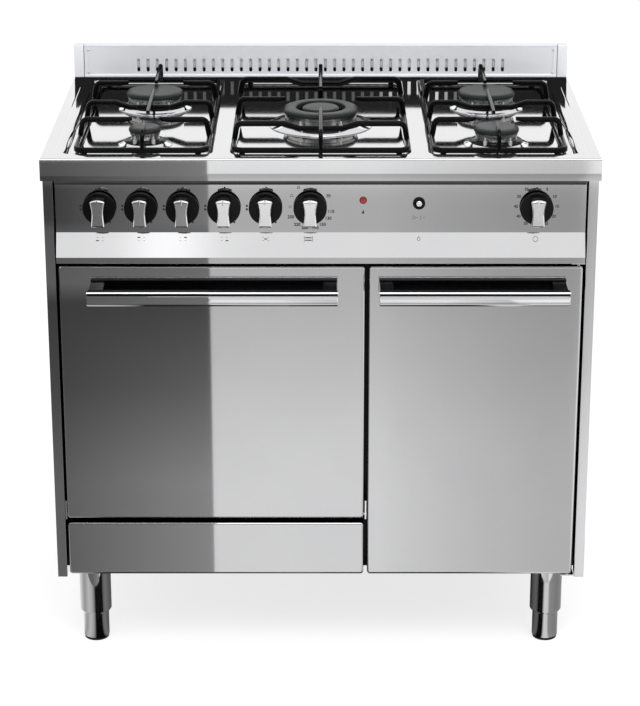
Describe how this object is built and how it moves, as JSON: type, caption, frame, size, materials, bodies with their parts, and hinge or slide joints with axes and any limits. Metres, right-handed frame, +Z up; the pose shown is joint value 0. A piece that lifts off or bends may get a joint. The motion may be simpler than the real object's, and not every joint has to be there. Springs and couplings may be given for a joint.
{
  "type": "range cooker with oven and cupboard",
  "caption": "Free-standing stainless gas cooker: burners under lift-off pan supports, drop-down oven door, tall side cupboard, storage drawer and levelling feet.",
  "frame": {"origin": "on the floor, under the middle of the whole cooker's box", "axes": "+Z up, the doors and knobs face -Y, +X to the right seen from the front"},
  "size_m": [0.9, 0.63, 0.938],
  "materials": {
    "polished_steel": "polished stainless steel sheet",
    "zinc_sheet": "plain zinc-coated sheet",
    "black_enamel": "glossy black enamel on steel bar",
    "cap_enamel": "satin dark grey enamel",
    "burner_aluminium": "cast aluminium",
    "bright_chrome": "chrome plate",
    "oven_enamel": "speckled dark oven enamel on steel",
    "mineral_wool": "mineral wool slab",
    "seal_rubber": "silicone seal",
    "rod_ceramic": "white ceramic rod",
    "brass_parts": "machined brass",
    "gas_pipe": "bent aluminium pipe",
    "black_plastic": "moulded black plastic",
    "knob_metal": "cast metal grip on a black disc",
    "lamp_red": "red lamp lens",
    "lamp_glass": "oven lamp glass"
  },
  "bodies": {
    "cooker": {"hob_top": "polished_steel", "rear_upstand": "polished_steel", "burner_cups": "bright_chrome", "flame_rings": "burner_aluminium", "burner_caps": "cap_enamel", "igniters_and_probes": "rod_ceramic", "left_side_panel": "polished_steel", "right_side_panel": "polished_steel", "rear_panel": "zinc_sheet", "base_pan": "zinc_sheet", "front_frame": "zinc_sheet", "control_panel": "polished_steel", "foot_sleeves": "polished_steel", "door_hinge_brackets": "bright_chrome", "drawer_runners": "zinc_sheet", "oven_cavity": "oven_enamel", "oven_door_seal": "seal_rubber", "oven_insulation": "mineral_wool", "shelf_side_racks": "bright_chrome", "oven_rack": "bright_chrome", "oven_tray": "oven_enamel", "oven_elements": "oven_enamel", "oven_lamp": "lamp_glass", "gas_manifold": "zinc_sheet", "gas_taps": "brass_parts", "burner_pipes": "gas_pipe", "switches_and_terminals": "black_plastic", "button_ring": "black_plastic", "indicator_lamp": "lamp_red"},
    "oven_door": {"oven_door_panel": "polished_steel", "oven_door_liner": "oven_enamel", "oven_door_insulation": "mineral_wool", "oven_door_handle": "polished_steel", "oven_door_hinge_pins": "bright_chrome"},
    "cabinet_door": {"cabinet_door_panel": "polished_steel", "cabinet_door_liner": "zinc_sheet", "cabinet_door_handle": "polished_steel", "cabinet_door_hinge_pins": "bright_chrome"},
    "drawer": {"drawer_front": "polished_steel", "drawer_box": "zinc_sheet"},
    "spindle_1": {"tap_spindle_1": "brass_parts"},
    "knob_1": {"burner_knob_1": "knob_metal"},
    "spindle_2": {"tap_spindle_2": "brass_parts"},
    "knob_2": {"burner_knob_2": "knob_metal"},
    "spindle_3": {"tap_spindle_3": "brass_parts"},
    "knob_3": {"burner_knob_3": "knob_metal"},
    "spindle_4": {"tap_spindle_4": "brass_parts"},
    "knob_4": {"burner_knob_4": "knob_metal"},
    "spindle_5": {"tap_spindle_5": "brass_parts"},
    "knob_5": {"burner_knob_5": "knob_metal"},
    "oven_dial": {"oven_knob": "knob_metal"},
    "timer_dial": {"timer_knob": "knob_metal"},
    "spark_push": {"spark_button": "bright_chrome"},
    "left_support": {"left_pan_support": "black_enamel"},
    "middle_support": {"middle_pan_support": "black_enamel"},
    "right_support": {"right_pan_support": "black_enamel"},
    "front_left_leg": {"front_left_foot": "polished_steel"},
    "front_right_leg": {"front_right_foot": "polished_steel"},
    "rear_left_leg": {"rear_left_foot": "polished_steel"},
    "rear_right_leg": {"rear_right_foot": "polished_steel"}
  },
  "joints": [
    {"name": "oven_door_drop", "type": "hinge", "parent": "cooker", "child": "oven_door", "pos_m": [-0.17775, -0.262, 0.2535], "axis": [1, 0, 0], "range_deg": [0, 90]},
    {"name": "cabinet_door_swing", "type": "hinge", "parent": "cooker", "child": "cabinet_door", "pos_m": [0.421, -0.262, 0.418], "axis": [0, 0, 1], "range_deg": [0, 100]},
    {"name": "drawer_slide", "type": "slide", "parent": "cooker", "child": "drawer", "axis": [0, -1, 0], "range_m": [0, 0.3]},
    {"name": "knob_1_push", "type": "slide", "parent": "cooker", "child": "spindle_1", "axis": [0, 1, 0], "range_m": [0, 0.004], "stiffness_N_per_m": 900, "springref_m": -0.006},
    {"name": "knob_1_turn", "type": "hinge", "parent": "spindle_1", "child": "knob_1", "pos_m": [-0.357, -0.29, 0.796], "axis": [0, -1, 0], "range_deg": [0, 215]},
    {"name": "knob_2_push", "type": "slide", "parent": "cooker", "child": "spindle_2", "axis": [0, 1, 0], "range_m": [0, 0.004], "stiffness_N_per_m": 900, "springref_m": -0.006},
    {"name": "knob_2_turn", "type": "hinge", "parent": "spindle_2", "child": "knob_2", "pos_m": [-0.29, -0.29, 0.796], "axis": [0, -1, 0], "range_deg": [0, 215]},
    {"name": "knob_3_push", "type": "slide", "parent": "cooker", "child": "spindle_3", "axis": [0, 1, 0], "range_m": [0, 0.004], "stiffness_N_per_m": 900, "springref_m": -0.006},
    {"name": "knob_3_turn", "type": "hinge", "parent": "spindle_3", "child": "knob_3", "pos_m": [-0.223, -0.29, 0.796], "axis": [0, -1, 0], "range_deg": [0, 215]},
    {"name": "knob_4_push", "type": "slide", "parent": "cooker", "child": "spindle_4", "axis": [0, 1, 0], "range_m": [0, 0.004], "stiffness_N_per_m": 900, "springref_m": -0.006},
    {"name": "knob_4_turn", "type": "hinge", "parent": "spindle_4", "child": "knob_4", "pos_m": [-0.156, -0.29, 0.796], "axis": [0, -1, 0], "range_deg": [0, 215]},
    {"name": "knob_5_push", "type": "slide", "parent": "cooker", "child": "spindle_5", "axis": [0, 1, 0], "range_m": [0, 0.004], "stiffness_N_per_m": 900, "springref_m": -0.006},
    {"name": "knob_5_turn", "type": "hinge", "parent": "spindle_5", "child": "knob_5", "pos_m": [-0.089, -0.29, 0.796], "axis": [0, -1, 0], "range_deg": [0, 215]},
    {"name": "oven_knob_turn", "type": "hinge", "parent": "cooker", "child": "oven_dial", "pos_m": [-0.017, -0.29, 0.796], "axis": [0, 1, 0], "range_deg": [0, 330]},
    {"name": "timer_knob_turn", "type": "hinge", "parent": "cooker", "child": "timer_dial", "pos_m": [0.348, -0.29, 0.796], "axis": [0, 1, 0], "range_deg": [0, 340]},
    {"name": "spark_button_push", "type": "slide", "parent": "cooker", "child": "spark_push", "axis": [0, 1, 0], "range_m": [0, 0.003], "stiffness_N_per_m": 400, "springref_m": -0.003},
    {"name": "left_support_lift", "type": "slide", "parent": "cooker", "child": "left_support", "axis": [0, 0, 1], "range_m": [0, 0.15]},
    {"name": "middle_support_lift", "type": "slide", "parent": "cooker", "child": "middle_support", "axis": [0, 0, 1], "range_m": [0, 0.15]},
    {"name": "right_support_lift", "type": "slide", "parent": "cooker", "child": "right_support", "axis": [0, 0, 1], "range_m": [0, 0.15]},
    {"name": "front_left_foot_level", "type": "slide", "parent": "cooker", "child": "front_left_leg", "axis": [0, 0, -1], "range_m": [0, 0.05]},
    {"name": "front_right_foot_level", "type": "slide", "parent": "cooker", "child": "front_right_leg", "axis": [0, 0, -1], "range_m": [0, 0.05]},
    {"name": "rear_left_foot_level", "type": "slide", "parent": "cooker", "child": "rear_left_leg", "axis": [0, 0, -1], "range_m": [0, 0.05]},
    {"name": "rear_right_foot_level", "type": "slide", "parent": "cooker", "child": "rear_right_leg", "axis": [0, 0, -1], "range_m": [0, 0.05]}
  ]
}
